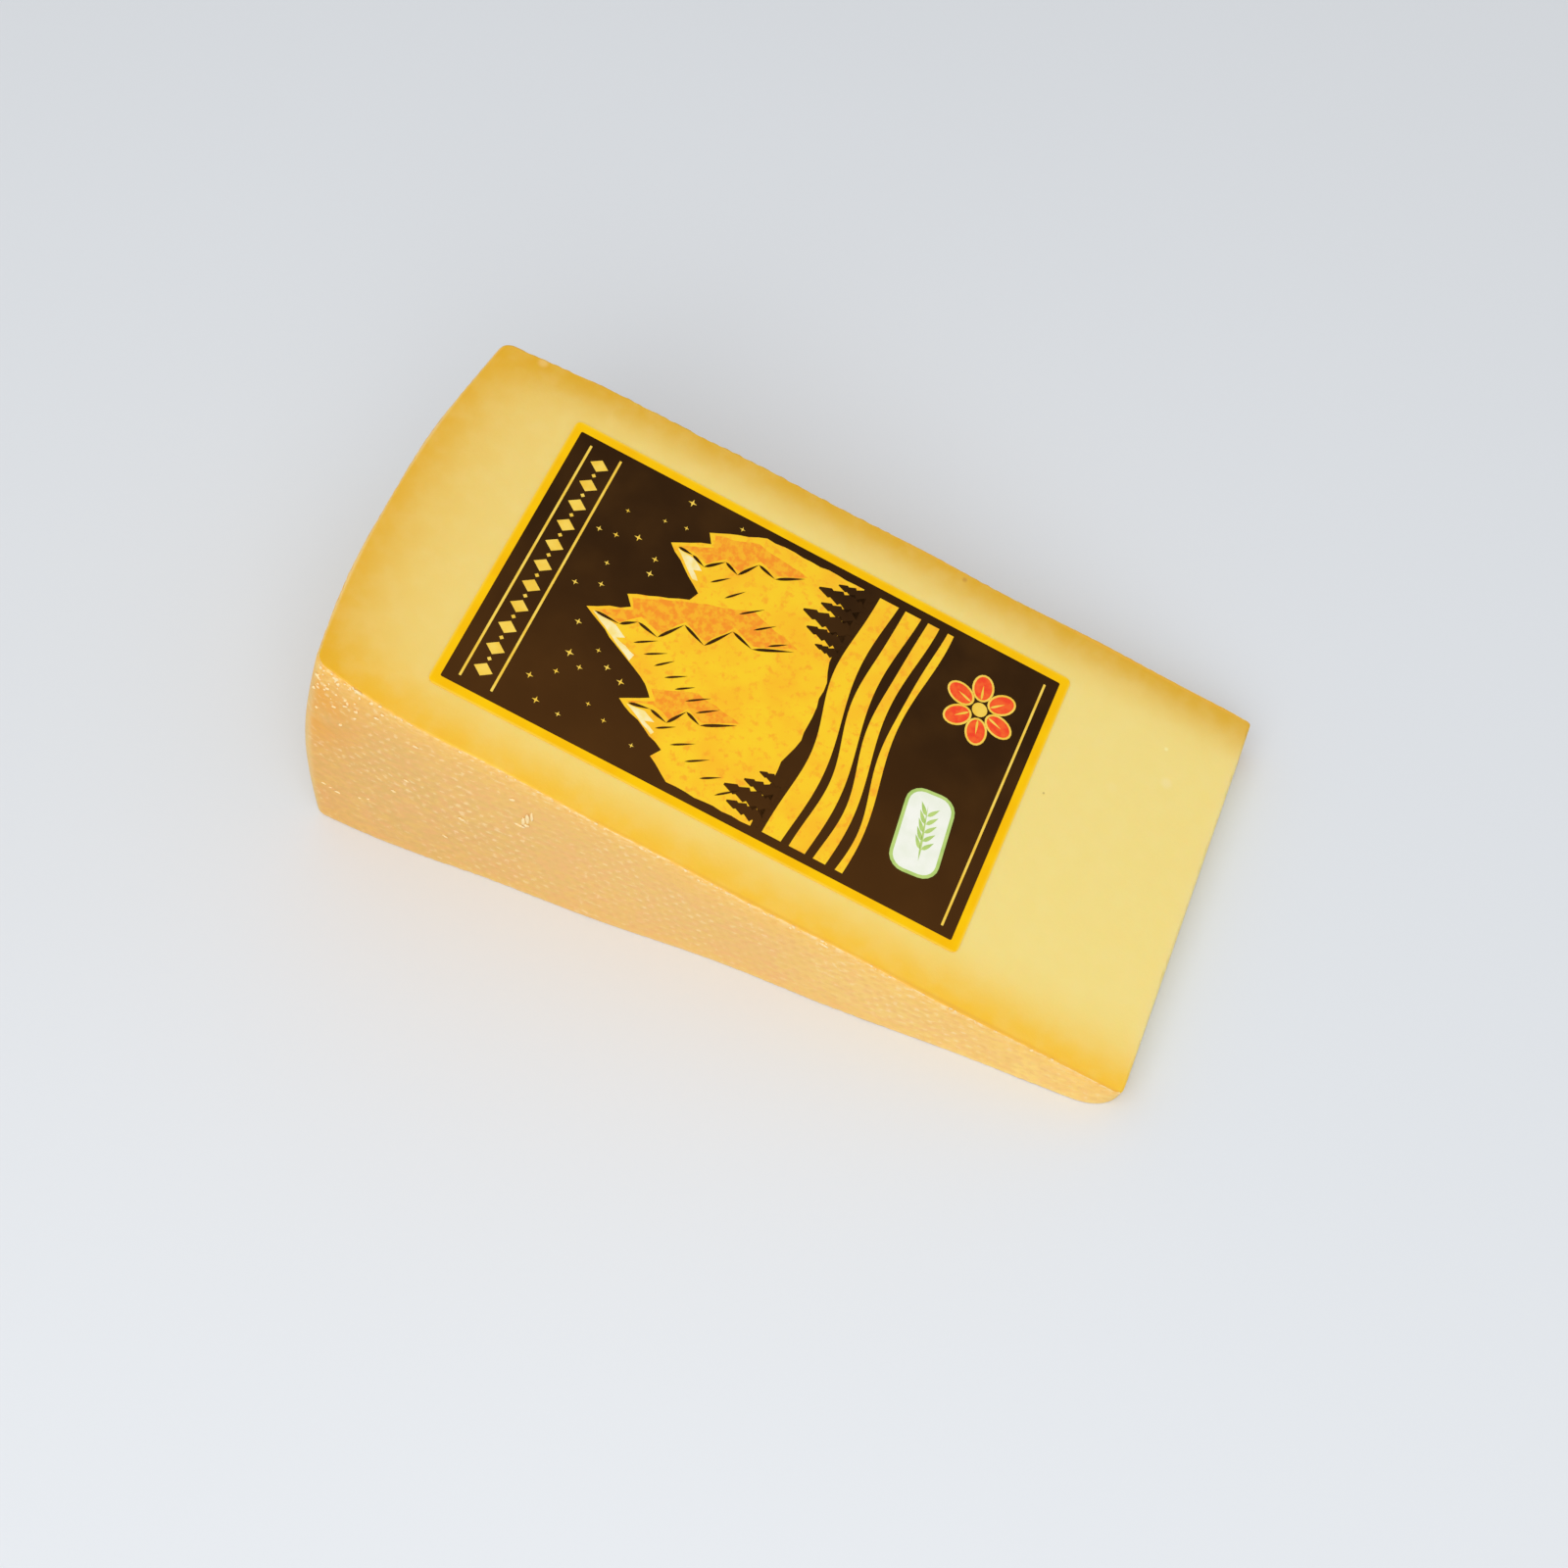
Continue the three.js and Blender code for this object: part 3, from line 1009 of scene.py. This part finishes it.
printed("label_tag_face", tag_face, 2, white_ink)
printed("label_tag_sprig", sprig, 3, green_ink)


# ---------------------------------------------------------------------------------------------
# The studio. A plain pale table, one large soft lamp above and a pale room, seen from the
# photograph's side and height.
# ---------------------------------------------------------------------------------------------

table_finish = Finish("pale_table", {"Roughness": 0.6})
table_grain = table_finish.grain(table_finish.place(), 300 * mm)
table_finish.wear(
    base_color=table_finish.mix(table_grain, srgb(226, 230, 235), srgb(230, 234, 239)),
)
table_mesh = bmesh.new()
bmesh.ops.create_grid(table_mesh, x_segments=1, y_segments=1, size=8)
table_data = bpy.data.meshes.new("table")
table_mesh.to_mesh(table_data)
table_mesh.free()
table_data.materials.append(table_finish.material)
table = bpy.data.objects.new("table", table_data)
bpy.context.scene.collection.objects.link(table)

lamp_data = bpy.data.lights.new("soft_lamp", "AREA")
lamp_data.shape = "SQUARE"
lamp_data.size = 1.1
lamp_data.energy = 6.8
lamp = bpy.data.objects.new("soft_lamp", lamp_data)
lamp.location = (0.12, -0.68, 0.85)
lamp.rotation_euler = (-Vector(lamp.location)).to_track_quat("-Z", "Y").to_euler()
bpy.context.scene.collection.objects.link(lamp)

room = bpy.data.worlds.new("pale_room")
room.use_nodes = True
room.node_tree.nodes["Background"].inputs["Color"].default_value = (1, 1, 1, 1)
room.node_tree.nodes["Background"].inputs["Strength"].default_value = 0.62
bpy.context.scene.world = room
bpy.context.scene.view_settings.view_transform = "Standard"

view_azimuth = math.radians(20.918)
view_elevation = math.radians(58.391)
view_roll = math.radians(1.537)
camera_data = bpy.data.cameras.new("camera")
camera_data.lens = 58.354
camera = bpy.data.objects.new("camera", camera_data)
camera.matrix_world = (
    Matrix.Translation((111.649 * mm, -287.187 * mm, 498.090 * mm))
    @ Matrix.Rotation(view_azimuth, 4, "Z")
    @ Matrix.Rotation(math.pi / 2 - view_elevation, 4, "X")
    @ Matrix.Rotation(view_roll, 4, "Z")
)
bpy.context.scene.collection.objects.link(camera)
bpy.context.scene.camera = camera
